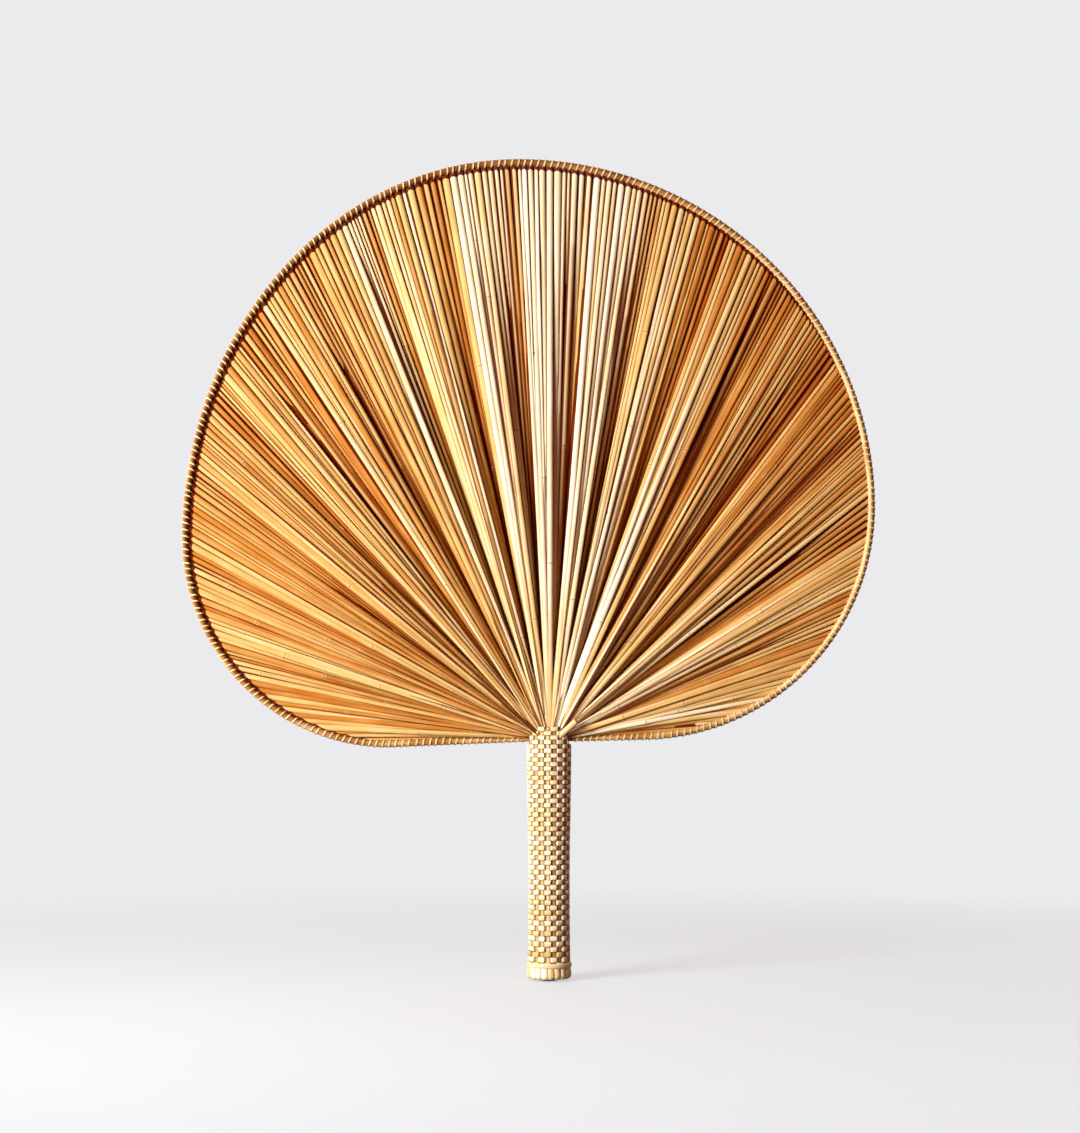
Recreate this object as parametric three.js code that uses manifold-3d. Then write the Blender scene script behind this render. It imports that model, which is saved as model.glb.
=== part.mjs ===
// A straw hand fan: a pleated blade of stalks, pinched between two cane hoops that a strip binds,
// on a handle of gathered stems round a stick inside a woven sleeve.
// Millimetres. +Z runs up the handle, +X to the right as seen from the front, and the front faces -Y.
// The origin is the middle of the flat foot of the stick, under the handle.
import * as THREE from "three";
import { mergeVertices } from "three/addons/utils/BufferGeometryUtils.js";
import Module from "manifold-3d";

const wasm = await Module();
wasm.setup();

// Gap between pieces that touch on the real fan
const clearance = 0.3;

// Outline of the blade along the outer edge of the rim: heights are above the rim's ends at the handle
const gripLength = 117.6;
const crownOffset = -15.3;
const crownRise = 293.4;
const leftReach = 183.7;
const leftReachRise = 102.8;
const leftHeel = 79.6;
const leftHeelRise = -3;
const rightReach = 163.3;
const rightReachRise = 118.1;
const rightHeel = 45.9;
const rightHeelRise = 0.8;

// Rim: two canes with the stalk tips between them, bound with a strip
const rimWidth = 4;
const rimEndWidth = 2;
const rimTaper = 45;
const caneThickness = 1;
const caneSteps = 96;
const bindingThickness = 0.8;
const bindingTurns = 160;
const bindingGroove = 0.25;
const bindingRound = 0.4;
const bindingLean = 1.6;
const bindingBareEnd = 4;
const bindingRingsPerStep = 4;

// Blade: stalks side by side in pleats, which are deep at the neck and flat at the rim
const pleatCount = 18;
const stalksPerPleat = 14;
const stalkThickness = 1.8;
const stalkGroove = 0.5;
const neckThickness = 5.5;
const foldDepth = 3.75;
const neckRise = 4.5;
const leftTipAngle = -1.4;
const rightTipAngle = 2.2;

// Handle
const stickRadius = 4;
const stemWall = 4.4;
const sleeveWall = 1.1;
const neckFlare = 0.9;
const footFlare = 0.25;
const flapRise = 7.9;
const domeRise = 17;
const stakeCount = 20;
const weaveRowPitch = 2.4;
const weaveRelief = 0.22;
const footStep = 0.4;
const cuffHeight = 6;
const cuffFlare = 0.75;
const cuffRounding = 1.6;
const cuffNick = 0.35;
const ringHeight = 2.4;
const ringThickness = 0.6;

// Tie: a thin cord wound round the stems under the neck of the sleeve
const tieDiameter = 1.1;
const tieTurns = 4;
const tiePitch = 1.7;
const tieDrop = 17;
const tieStepsPerTurn = 16;
const tieSides = 6;

const roundSides = 24;

// Sizes that follow from the fits
const stemRadius = stickRadius + clearance + stemWall;
const sleeveBore = stemRadius + clearance;
const gripRadius = sleeveBore + sleeveWall;
const handleTop = gripLength + flapRise;
const neckHalfWidth = stemRadius + 2 * clearance;
const neckHeight = gripLength + rimEndWidth + clearance;
const neckHalfDepth = foldDepth + neckThickness / 2;
const caneInnerFace = stalkThickness / 2 + clearance;
const bindingInnerFace = caneInnerFace + caneThickness + clearance;
const rimHalfDepth = bindingInnerFace + bindingThickness;
const tipInset = bindingThickness + clearance;
const cuffTop = footStep + cuffHeight;
const sleeveFoot = cuffTop + clearance;
const tieHeight = gripLength - tieDrop;
const tieWaist = stemRadius - tieDiameter - clearance;

const straw = { roughness: 0.55, metalness: 0 };
const goldenStraw = new THREE.MeshStandardMaterial({ color: 0xd9a04a, ...straw });
const paleStraw = new THREE.MeshStandardMaterial({ color: 0xe6cf94, ...straw });
const bentCane = new THREE.MeshStandardMaterial({ color: 0xb98445, ...straw });
const stickWood = new THREE.MeshStandardMaterial({ color: 0x6b3f22, ...straw });
const twine = new THREE.MeshStandardMaterial({ color: 0xb89a6a, ...straw });

const { lerp, clamp, mapLinear, smoothstep, radToDeg } = THREE.MathUtils;
const fan = new THREE.Group();

function addPiece(name, geometry, material) {
  const piece = new THREE.Mesh(geometry, material);
  piece.name = name;
  fan.add(piece);
}

// A closed surface from its corner points and the triangles between them.
function surface(points, triangles) {
  const geometry = new THREE.BufferGeometry().setFromPoints(points);
  geometry.setIndex(triangles.flat());
  return geometry;
}

// The two triangles of the four-sided face a, b, c, d.
const quad = (a, b, c, d) => [[a, b, c], [a, c, d]];

// A point round the handle's axis.
function aroundAxis(radius, angle, height) {
  return new THREE.Vector3(radius * Math.cos(angle), radius * Math.sin(angle), height);
}

// A solid through rings of equal size. Each end closes by zipping the ring's first half to its second half.
function loft(rings) {
  const count = rings[0].length;
  const triangles = [];
  for (let r = 0; r + 1 < rings.length; r++) {
    const here = r * count;
    const next = here + count;
    for (let i = 0; i < count; i++) {
      const j = (i + 1) % count;
      triangles.push(...quad(here + i, here + j, next + j, next + i));
    }
  }
  const last = (rings.length - 1) * count;
  for (let i = 0; i + 1 < count / 2; i++) {
    const j = count - 1 - i;
    triangles.push(...quad(i, j, j - 1, i + 1));
    triangles.push(...quad(last + i, last + i + 1, last + j - 1, last + j));
  }
  return surface(rings.flat(), triangles);
}

function solidOf(geometry) {
  const bare = geometry.clone();
  bare.deleteAttribute("normal");
  bare.deleteAttribute("uv");
  const merged = mergeVertices(bare, 1e-4);
  const mesh = new wasm.Mesh({
    numProp: 3,
    vertProperties: merged.attributes.position.array,
    triVerts: new Uint32Array(merged.index.array),
  });
  return new wasm.Manifold(mesh);
}

function geometryOf(solid) {
  const mesh = solid.getMesh();
  const geometry = new THREE.BufferGeometry();
  geometry.setAttribute("position", new THREE.BufferAttribute(mesh.vertProperties, 3));
  geometry.setIndex(new THREE.BufferAttribute(mesh.triVerts, 1));
  return geometry;
}

// A body turned round the handle's axis from [radius, height] pairs, listed up the outside.
function turned(profile) {
  const points = profile.map(([radius, height]) => new THREE.Vector2(radius, height));
  return new THREE.LatheGeometry(points, roundSides).rotateX(Math.PI / 2);
}

// A bar along Y that stands on the foot's level, straight up to springHeight and then a half ellipse.
function archBar(halfWidth, springHeight, rise, length) {
  const front = new THREE.Shape();
  front.moveTo(-halfWidth, 0);
  front.lineTo(halfWidth, 0);
  front.lineTo(halfWidth, springHeight);
  front.absellipse(0, springHeight, halfWidth, rise, 0, Math.PI, false);
  front.closePath();
  const bar = new THREE.ExtrudeGeometry(front, { depth: length, bevelEnabled: false, curveSegments: 16 });
  return bar.translate(0, 0, -length / 2).rotateX(Math.PI / 2);
}

// The rim's outer edge, from the left of the handle over the crown to the right of the handle.
function bladeOutline() {
  const edge = new THREE.Path();
  const endX = stemRadius + clearance;
  const quarter = Math.PI / 2;
  const leftHigh = gripLength + leftReachRise;
  const rightHigh = gripLength + rightReachRise;
  edge.moveTo(-endX, gripLength);
  edge.lineTo(-leftHeel, gripLength + leftHeelRise);
  edge.absellipse(
    -leftHeel, leftHigh, leftReach - leftHeel, leftReachRise - leftHeelRise, -quarter, -Math.PI, true,
  );
  edge.absellipse(
    crownOffset, leftHigh, leftReach + crownOffset, crownRise - leftReachRise, Math.PI, quarter, true,
  );
  edge.absellipse(
    crownOffset, rightHigh, rightReach - crownOffset, crownRise - rightReachRise, quarter, 0, true,
  );
  edge.absellipse(
    rightHeel, rightHigh, rightReach - rightHeel, rightReachRise - rightHeelRise, 0, -quarter, true,
  );
  edge.lineTo(endX, gripLength);
  return edge;
}

const outline = bladeOutline();
const outlineLength = outline.getLength();

// A point at a length along the outline, moved in from the edge and set at a depth.
function rimPoint(along, inset, depth) {
  const share = clamp(along / outlineLength, 0, 1);
  const edge = outline.getPoint(share);
  const direction = outline.getTangent(share);
  return new THREE.Vector3(edge.x + direction.y * inset, depth, edge.y - direction.x * inset);
}

// The rim's width at a length along the outline: shaved thin where its ends go into the neck.
function rimWidthAt(along) {
  const fromEnd = Math.min(along, outlineLength - along);
  return lerp(rimEndWidth, rimWidth, clamp(fromEnd / rimTaper, 0, 1));
}

// A cane, flat towards the stalks and chamfered away from them, in front for side -1 and behind for side 1.
function caneHoop(side) {
  const middle = caneInnerFace + caneThickness / 2;
  const outerFace = caneInnerFace + caneThickness;
  const rings = [];
  for (let step = 0; step <= caneSteps; step++) {
    const along = (outlineLength * step) / caneSteps;
    const inner = rimWidthAt(along) - clearance;
    const chamfer = (inner - tipInset) / 4;
    const section = [
      [tipInset, caneInnerFace],
      [tipInset, middle],
      [tipInset + chamfer, outerFace],
      [inner - chamfer, outerFace],
      [inner, middle],
      [inner, caneInnerFace],
    ];
    const ring = section.map(([inset, depth]) => rimPoint(along, inset, side * depth));
    rings.push(side < 0 ? ring : ring.reverse());
  }
  return loft(rings);
}

// The binding: a channel over both canes, open towards the stalks, with a ridge for each turn of the strip.
function rimBinding() {
  const ringCount = 2 * bindingTurns;
  const length = outlineLength - 2 * bindingBareEnd;
  const points = [];
  const outside = [];
  const inside = [];
  const triangles = [];
  const keep = (along, inset, depth) => points.push(rimPoint(along, inset, depth)) - 1;
  for (let ring = 0; ring <= ringCount; ring++) {
    const along = bindingBareEnd + (length * ring) / ringCount;
    const lip = rimWidthAt(along);
    const sunk = ring % 2 ? 0 : bindingGroove;
    const depth = rimHalfDepth - sunk;
    const lean = ring === 0 || ring === ringCount ? 0 : bindingLean / 2;
    outside.push([
      keep(along - lean, lip, -depth),
      keep(along - lean / 3, sunk + bindingRound, -depth),
      keep(along - lean / 3, sunk, bindingRound - depth),
      keep(along + lean / 3, sunk, depth - bindingRound),
      keep(along + lean / 3, sunk + bindingRound, depth),
      keep(along + lean, lip, depth),
    ]);
    if (ring % bindingRingsPerStep === 0) {
      inside.push([
        keep(along, lip, -bindingInnerFace),
        keep(along, bindingThickness, -bindingInnerFace),
        keep(along, bindingThickness, bindingInnerFace),
        keep(along, lip, bindingInnerFace),
      ]);
    }
  }
  for (let ring = 0; ring < ringCount; ring++) {
    const here = outside[ring];
    const next = outside[ring + 1];
    const near = inside[Math.floor(ring / bindingRingsPerStep)];
    for (let i = 0; i < 5; i++) triangles.push(...quad(here[i], next[i], next[i + 1], here[i + 1]));
    triangles.push([next[0], here[0], near[0]], [here[5], next[5], near[3]]);
  }
  for (let step = 0; step + 1 < inside.length; step++) {
    const here = inside[step];
    const next = inside[step + 1];
    const edge = outside[(step + 1) * bindingRingsPerStep];
    for (let i = 0; i < 3; i++) triangles.push(...quad(here[i], here[i + 1], next[i + 1], next[i]));
    triangles.push([next[0], edge[0], here[0]], [edge[5], next[3], here[3]]);
  }
  const endFace = (out, inn) => [
    ...quad(out[0], out[1], inn[1], inn[0]),
    [out[1], out[2], inn[1]],
    ...quad(out[2], out[3], inn[2], inn[1]),
    [out[3], out[4], inn[2]],
    ...quad(out[4], out[5], inn[3], inn[2]),
  ];
  triangles.push(...endFace(outside[0], inside[0]));
  triangles.push(...endFace(outside.at(-1), inside.at(-1)).map(([a, b, c]) => [a, c, b]));
  return surface(points, triangles);
}

// Where the stalks leave the neck: a low arch over the top of the stems.
const neckArch = new THREE.EllipseCurve(0, neckHeight, neckHalfWidth, neckRise, Math.PI, 0, true);

// Lengths along the outline at which the pleats part: the stalks keep the same spacing square to their run.
function pleatEdges() {
  const samples = 800;
  const neck = new THREE.Vector3(0, 0, neckHeight);
  const alongs = [];
  const spread = [];
  let total = 0;
  for (let i = 0; i <= samples; i++) {
    const along = (outlineLength * i) / samples;
    const run = rimPoint(along, tipInset, 0).sub(neck);
    const angle = radToDeg(Math.atan2(run.z, Math.abs(run.x)));
    if (angle < (run.x < 0 ? leftTipAngle : rightTipAngle)) continue;
    const next = rimPoint(along + outlineLength / samples, tipInset, 0).sub(neck);
    alongs.push(along);
    spread.push(total);
    total += run.angleTo(next) * run.length();
  }
  const width = spread.at(-1) / pleatCount;
  return Array.from({ length: pleatCount + 1 }, (_, edge) => {
    const i = clamp(spread.findIndex((reached) => reached >= edge * width), 1, spread.length - 1);
    return mapLinear(edge * width, spread[i - 1], spread[i], alongs[i - 1], alongs[i]);
  });
}

// One pleat: stalks lying side by side, folded forward along its middle, from the neck into the rim.
function pleat(fromAlong, toAlong, fromArch, toArch) {
  const lines = 2 * stalksPerPleat;
  const gapAlong = clearance / 2;
  const gapArch = clearance / 2 / neckArch.getLength();
  const fronts = [[], [], []];
  const backs = [[], [], []];
  for (let line = 0; line <= lines; line++) {
    const share = line / lines;
    const fold = foldDepth * (2 * Math.abs(2 * share - 1) - 1);
    const sunk = line % 2 ? 0 : stalkGroove;
    const along = lerp(fromAlong + gapAlong, toAlong - gapAlong, share);
    const root = neckArch.getPointAt(lerp(fromArch + gapArch, toArch - gapArch, share));
    const roundness = Math.sqrt(1 - (root.x / neckHalfWidth) ** 2);
    const neckHalf = lerp(stalkThickness, neckThickness, roundness) / 2;
    const foot = new THREE.Vector3(root.x, 0, root.y);
    const tip = rimPoint(along, tipInset, 0);
    const acrossRim = rimPoint(along, rimWidth + clearance, 0).sub(tip);
    const run = foot.clone().sub(tip);
    const mouth = tip.clone().addScaledVector(run, acrossRim.lengthSq() / run.dot(acrossRim));
    const sections = [
      [foot, fold * roundness, neckHalf - sunk],
      [mouth, 0, stalkThickness / 2 - sunk],
      [tip, 0, stalkThickness / 2 - sunk],
    ];
    sections.forEach(([at, middle, half], station) => {
      fronts[station].push(new THREE.Vector3(at.x, middle - half, at.z));
      backs[station].unshift(new THREE.Vector3(at.x, middle + half, at.z));
    });
  }
  return loft(fronts.map((front, station) => [...front, ...backs[station]]));
}

// The outside radius of the sleeve at a height: full at the neck, waisted at the grip, a little wider at the foot.
function sleeveRadius(height) {
  const share = mapLinear(height, sleeveFoot, handleTop, 0, 1);
  const neck = neckFlare * smoothstep(share, 0.35, 0.95);
  const foot = footFlare * (1 - smoothstep(share, 0, 0.25));
  return gripRadius + neck + foot;
}

// The sleeve's outside: stakes and rows pass over each other by turns.
function wovenBody() {
  const rows = Math.round((handleTop - sleeveFoot) / weaveRowPitch);
  const rings = [];
  for (let row = 0; row <= rows; row++) {
    const height = lerp(sleeveFoot, handleTop, row / rows);
    const ring = [];
    for (let stake = 0; stake < stakeCount; stake++) {
      const over = (row + stake) % 2 ? weaveRelief : -weaveRelief;
      ring.push(aroundAxis(sleeveRadius(height) + over, (2 * Math.PI * stake) / stakeCount, height));
    }
    rings.push(ring);
  }
  return loft(rings);
}

// The sleeve: bored for the stems, domed at the top, and slotted there for the blade and the rim's ends.
function wovenSleeve() {
  const reach = 4 * gripRadius;
  const slotFloor = gripLength - clearance;
  const slotHeight = 2 * (handleTop - slotFloor);
  const bore = turned([[0, 0], [sleeveBore, 0], [sleeveBore, 2 * handleTop], [0, 2 * handleTop]]);
  const dome = archBar(gripRadius + neckFlare + weaveRelief, handleTop - domeRise, domeRise, reach);
  const slot = new THREE.BoxGeometry(reach, 2 * (neckHalfDepth + clearance), slotHeight);
  slot.translate(0, 0, slotFloor + slotHeight / 2);
  const body = solidOf(wovenBody()).intersect(solidOf(dome));
  return geometryOf(body.subtract(solidOf(bore)).subtract(solidOf(slot)));
}

// The gathered lower ends of the stalks: a thick wall round the stick, drawn in under the tie.
function stemBundle() {
  const waistHalf = (tieTurns * tiePitch) / 2 + tieDiameter;
  const waistEnd = waistHalf + tieDiameter;
  const bore = stickRadius + clearance;
  const bundle = turned([
    [0, tieHeight],
    [bore, tieHeight],
    [bore, sleeveFoot],
    [stemRadius, sleeveFoot],
    [stemRadius, tieHeight - waistEnd],
    [tieWaist, tieHeight - waistHalf],
    [tieWaist, tieHeight + waistHalf],
    [stemRadius, tieHeight + waistEnd],
    [stemRadius, handleTop],
    [0, handleTop],
  ]);
  const arch = archBar(neckHalfWidth - clearance, neckHeight, neckRise - clearance, 4 * stemRadius);
  return geometryOf(solidOf(bundle).intersect(solidOf(arch)));
}

// The tie's line: a screw round the drawn-in stems.
class TieLine extends THREE.Curve {
  getPoint(share, target = new THREE.Vector3()) {
    const radius = tieWaist + clearance + tieDiameter / 2;
    const height = tieHeight + tieTurns * tiePitch * (share - 0.5);
    return target.copy(aroundAxis(radius, 2 * Math.PI * tieTurns * share, height));
  }
}

// The least gap between one turn of the tie and the next, on points along its line.
function tieGap(line) {
  const points = line.getPoints(tieTurns * tieStepsPerTurn);
  let least = Infinity;
  points.forEach((point, i) => {
    points.slice(i + tieStepsPerTurn / 2).forEach((other) => {
      least = Math.min(least, point.distanceTo(other) - tieDiameter);
    });
  });
  return least;
}

function neckTie() {
  const line = new TieLine();
  console.log(`neck tie: least gap to itself ${tieGap(line).toFixed(2)} mm`);
  const corners = Array.from({ length: tieSides }, (_, side) => {
    const angle = (2 * Math.PI * side) / tieSides;
    return new THREE.Vector2(Math.cos(angle), Math.sin(angle)).multiplyScalar(tieDiameter / 2);
  });
  const steps = tieTurns * tieStepsPerTurn;
  return new THREE.ExtrudeGeometry(new THREE.Shape(corners), { extrudePath: line, steps, bevelEnabled: false });
}

// The stakes' ends, folded under the sleeve in one flared row with a nick between neighbours.
function endCuff() {
  const bore = stickRadius + clearance;
  const outer = gripRadius + cuffFlare;
  const profile = [
    [bore, footStep, 0],
    [outer - cuffRounding, footStep, cuffNick],
    [outer, footStep + cuffRounding, cuffNick],
    [gripRadius + footFlare, cuffTop, cuffNick],
    [bore, cuffTop, 0],
  ];
  const sides = 2 * stakeCount;
  const count = profile.length;
  const points = [];
  const triangles = [];
  for (let side = 0; side < sides; side++) {
    const here = side * count;
    const next = ((side + 1) % sides) * count;
    profile.forEach(([radius, height, nick], i) => {
      const depth = side % 2 ? nick : 0;
      const j = (i + 1) % count;
      points.push(aroundAxis(radius - depth, (2 * Math.PI * side) / sides, height));
      triangles.push(...quad(here + i, next + i, next + j, here + j));
    });
  }
  return surface(points, triangles);
}

function endRing() {
  const inner = sleeveRadius(sleeveFoot) + weaveRelief + clearance;
  const outer = inner + ringThickness;
  return turned([
    [inner, sleeveFoot],
    [outer, sleeveFoot + ringHeight / 4],
    [outer, sleeveFoot + (3 * ringHeight) / 4],
    [inner, sleeveFoot + ringHeight],
    [inner, sleeveFoot],
  ]);
}

function coreStick() {
  const top = tieHeight - clearance;
  return turned([[0, 0], [stickRadius, 0], [stickRadius, top], [0, top]]);
}

const edges = pleatEdges();
for (let i = 0; i < pleatCount; i++) {
  const name = `straw_pleat_${String(i + 1).padStart(2, "0")}`;
  addPiece(name, pleat(edges[i], edges[i + 1], i / pleatCount, (i + 1) / pleatCount), goldenStraw);
}
addPiece("rim_cane_front", caneHoop(-1), bentCane);
addPiece("rim_cane_back", caneHoop(1), bentCane);
addPiece("rim_binding", rimBinding(), paleStraw);
addPiece("core_stick", coreStick(), stickWood);
addPiece("stem_bundle", stemBundle(), goldenStraw);
addPiece("neck_tie", neckTie(), twine);
addPiece("woven_sleeve", wovenSleeve(), paleStraw);
addPiece("end_ring", endRing(), paleStraw);
addPiece("end_cuff", endCuff(), paleStraw);

export default fan;
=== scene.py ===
import bisect
import math
import random

import bmesh
import bpy
from mathutils import Matrix, Vector, noise


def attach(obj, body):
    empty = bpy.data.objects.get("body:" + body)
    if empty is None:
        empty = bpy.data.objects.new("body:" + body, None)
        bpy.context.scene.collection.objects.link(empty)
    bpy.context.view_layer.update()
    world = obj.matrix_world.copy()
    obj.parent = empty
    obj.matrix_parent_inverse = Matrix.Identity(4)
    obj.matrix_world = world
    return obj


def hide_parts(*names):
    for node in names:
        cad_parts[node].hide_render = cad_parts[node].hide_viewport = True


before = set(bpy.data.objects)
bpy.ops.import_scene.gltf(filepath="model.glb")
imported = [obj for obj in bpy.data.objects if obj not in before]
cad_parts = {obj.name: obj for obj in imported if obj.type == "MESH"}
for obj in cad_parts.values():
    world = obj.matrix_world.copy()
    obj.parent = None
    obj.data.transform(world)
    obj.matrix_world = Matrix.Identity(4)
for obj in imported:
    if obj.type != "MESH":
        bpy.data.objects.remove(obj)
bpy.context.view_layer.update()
print("frame loaded,", len(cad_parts), "pieces")

metre = 0.001  # pieces are worked in millimetres and set down in metres


def clamp(value, low=0, high=1):
    return min(max(value, low), high)


def blend(first, second, share):
    return first + (second - first) * share


def ease(low, high, value):
    share = clamp((value - low) / (high - low))
    return share * share * (3 - 2 * share)


def readTable(table, value):  # straight lines between the pairs of a table
    for (fromValue, fromResult), (toValue, toResult) in zip(table, table[1:]):
        if value <= toValue:
            share = (value - fromValue) / (toValue - fromValue)
            return blend(fromResult, toResult, max(share, 0))
    return table[-1][1]


# Shader wiring

def tint(code):  # a colour code as linear light
    channels = [int(code[i:i + 2], 16) / 255 for i in (0, 2, 4)]
    light = [c / 12.92 if c <= 0.04045 else ((c + 0.055) / 1.055) ** 2.4 for c in channels]
    return (*light, 1.0)


class Wire:  # a node's output, to reckon with
    def __init__(self, paint, socket):
        self.paint = paint
        self.socket = socket

    def math(self, operation, first, second):
        return self.paint.node("ShaderNodeMath", {"operation": operation}, {0: first, 1: second})

    def __add__(self, other):
        return self.math("ADD", self, other)

    def __radd__(self, other):
        return self.math("ADD", other, self)

    def __sub__(self, other):
        return self.math("SUBTRACT", self, other)

    def __rsub__(self, other):
        return self.math("SUBTRACT", other, self)

    def __mul__(self, other):
        return self.math("MULTIPLY", self, other)

    def __rmul__(self, other):
        return self.math("MULTIPLY", other, self)


class Paint:  # makes and links the nodes of one tree
    def __init__(self, tree):
        self.tree = tree

    def node(self, kind, settings, inputs, out=0):
        made = self.tree.nodes.new(kind)
        for key, value in settings.items():
            if key == "stops":
                ramp = made.color_ramp.elements
                while len(ramp) < len(value):
                    ramp.new(0.5)
                for element, (place, colour) in zip(ramp, value):
                    element.position = place
                    element.color = tint(colour)
            else:
                setattr(made, key, value)
        for key, value in inputs.items():
            self.feed(made.inputs[key], value)
        return Wire(self, made.outputs[out])

    def feed(self, socket, value):
        if isinstance(value, Wire):
            self.tree.links.new(value.socket, socket)
        else:
            socket.default_value = value

    def mixColour(self, share, first, second):
        inputs = {0: share, 6: first, 7: second}
        return self.node("ShaderNodeMix", {"data_type": "RGBA"}, inputs, 2)

    def stretch(self, vector, by):
        return self.node("ShaderNodeVectorMath", {"operation": "MULTIPLY"}, {0: vector, 1: by})

    def cloud(self, vector, scale, detail, roughness=0.5):
        inputs = {"Vector": vector, "Scale": scale, "Detail": detail, "Roughness": roughness}
        return self.node("ShaderNodeTexNoise", {}, inputs)

    def reach(self, value, low, high):
        inputs = {"Value": value, "From Min": low, "From Max": high}
        return self.node("ShaderNodeMapRange", {"clamp": True}, inputs)


def newMaterial(name):
    material = bpy.data.materials.new(name)
    material.use_nodes = True
    return material, Paint(material.node_tree), material.node_tree.nodes["Principled BSDF"]


# Fibre finishes
fibre = {
    "collarFrom": 0.1, "scarFrom": 0.55, "scarTo": 0.95, "collarShow": 0.35, "scarShow": 0.55,
    "roughStray": 0.16, "scarRough": 0.2, "glossFrom": 0.62, "glossTo": 0.9, "ribHeight": 0.0002,
}


def fibreMaterial(name, look, f):
    material, paint, shader = newMaterial(name)
    # grain is across, along and which strand; tone is how pale, how near a joint, and how much painted
    # shade (how far round, and painted shadow)
    grain = paint.node("ShaderNodeAttribute", {"attribute_name": "grain"}, {}, "Vector")
    tone = paint.node("ShaderNodeAttribute", {"attribute_name": "tone"}, {}, "Vector")
    pale = paint.node("ShaderNodeSeparateXYZ", {}, {0: tone}, "X")
    joint = paint.node("ShaderNodeSeparateXYZ", {}, {0: tone}, "Y")
    flank = paint.node("ShaderNodeSeparateXYZ", {}, {0: tone}, "Z")
    streak = paint.cloud(paint.stretch(grain, look["streak"]), 1.0, 3.0, 0.6)
    patch = paint.cloud(paint.stretch(grain, look["patch"]), 1.0, 2.0)
    level = pale + (streak - 0.5) * look["streakDepth"] + (patch - 0.5) * look["patchDepth"]
    colour = paint.node("ShaderNodeValToRGB", {"stops": look["stops"]}, {0: level})
    scar = paint.reach(joint, f["scarFrom"], f["scarTo"])
    collar = paint.reach(joint, f["collarFrom"], f["scarFrom"]) * (1 - scar)
    # painted shade: edges, creases and the rim's shadow darken towards the crease shade colour
    crease = paint.reach(flank, look["creaseFrom"], look["creaseTo"])
    colour = paint.mixColour(collar * f["collarShow"], colour, tint(look["collar"]))
    colour = paint.mixColour(scar * f["scarShow"], colour, tint(look["scar"]))
    colour = paint.mixColour(crease * look["crease"], colour, tint(look["creaseShade"]))
    paint.feed(shader.inputs["Base Color"], colour)
    rough = look["roughness"] + (patch - 0.5) * f["roughStray"] + scar * f["scarRough"]
    paint.feed(shader.inputs["Roughness"], rough)
    gloss = paint.reach(pale, f["glossFrom"], f["glossTo"])
    paint.feed(shader.inputs["Coat Weight"], look["coat"] * (1 - crease) * gloss)
    shader.inputs["Coat Roughness"].default_value = look["coatRoughness"]
    shader.inputs["Coat IOR"].default_value = look["coatIor"]
    shader.inputs["Specular IOR Level"].default_value = look["specular"]
    rib = paint.cloud(paint.stretch(grain, look["rib"]), 1.0, 2.0, 0.55)
    inputs = {"Height": rib, "Strength": look["ribStrength"], "Distance": f["ribHeight"]}
    paint.feed(shader.inputs["Normal"], paint.node("ShaderNodeBump", {}, inputs))
    return material


strawLook = {
    "stops": [(0.0, "4e0e00"), (0.22, "963c0a"), (0.45, "c27f36"), (0.7, "e1bb74"), (1.0, "fcf0d2")],
    "streak": (1.5, 0.03, 1.0), "streakDepth": 0.26,
    "patch": (0.15, 0.045, 1.0), "patchDepth": 0.3,
    "collar": "f3dda2", "scar": "7a4a1e", "creaseShade": "5a1202",
    "crease": 0.97, "creaseFrom": 0.56, "creaseTo": 0.82,
    "roughness": 0.45, "coat": 0.12, "coatRoughness": 0.3, "coatIor": 1.5, "specular": 0.0,
    "rib": (4.0, 0.05, 1.0), "ribStrength": 0.35,
}
caneLook = {
    "stops": [(0.0, "482812"), (0.3, "7c4c24"), (0.6, "b07c42"), (1.0, "f0d8a0")],
    "streak": (2.2, 0.05, 1.0), "streakDepth": 0.4,
    "patch": (0.3, 0.09, 1.0), "patchDepth": 0.45,
    "collar": "d8b67c", "scar": "4a2a14", "creaseShade": "2a1208",
    "crease": 0.6, "creaseFrom": 0.8, "creaseTo": 1.0,
    "roughness": 0.5, "coat": 0.1, "coatRoughness": 0.35, "coatIor": 1.5, "specular": 0.1,
    "rib": (5.0, 0.08, 1.0), "ribStrength": 0.5,
}
stripLook = {
    "stops": [(0.0, "9c7038"), (0.35, "d4a860"), (0.65, "eed092"), (1.0, "fef4d8")],
    "streak": (2.4, 0.06, 1.0), "streakDepth": 0.3,
    "patch": (0.3, 0.12, 1.0), "patchDepth": 0.3,
    "collar": "f3e3b8", "scar": "8a6232", "creaseShade": "4a2008",
    "crease": 0.9, "creaseFrom": 0.75, "creaseTo": 1.0,
    "roughness": 0.5, "coat": 0.1, "coatRoughness": 0.35, "coatIor": 1.5, "specular": 0.1,
    "rib": (4.0, 0.08, 1.0), "ribStrength": 0.5,
}
strawPaint = fibreMaterial("golden_straw_stalks", strawLook, fibre)
canePaint = fibreMaterial("bent_cane_hoop", caneLook, fibre)
stripPaint = fibreMaterial("pale_straw_strip", stripLook, fibre)
print("fibre finishes mixed")


# Lines that are walked by their length

class Course:
    def __init__(self, points):
        self.points = [points[0]]
        self.lengths = [0.0]
        for point in points[1:]:
            step = (point - self.points[-1]).length
            if step > 1e-6:  # no point twice
                self.points.append(point)
                self.lengths.append(self.lengths[-1] + step)
        self.length = self.lengths[-1]

    def at(self, along):
        along = clamp(along, 0, self.length)
        i = clamp(bisect.bisect_right(self.lengths, along), 1, len(self.points) - 1)
        start, end = self.points[i - 1], self.points[i]
        share = (along - self.lengths[i - 1]) / (self.lengths[i] - self.lengths[i - 1])
        return start.lerp(end, share), (end - start).normalized()


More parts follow.
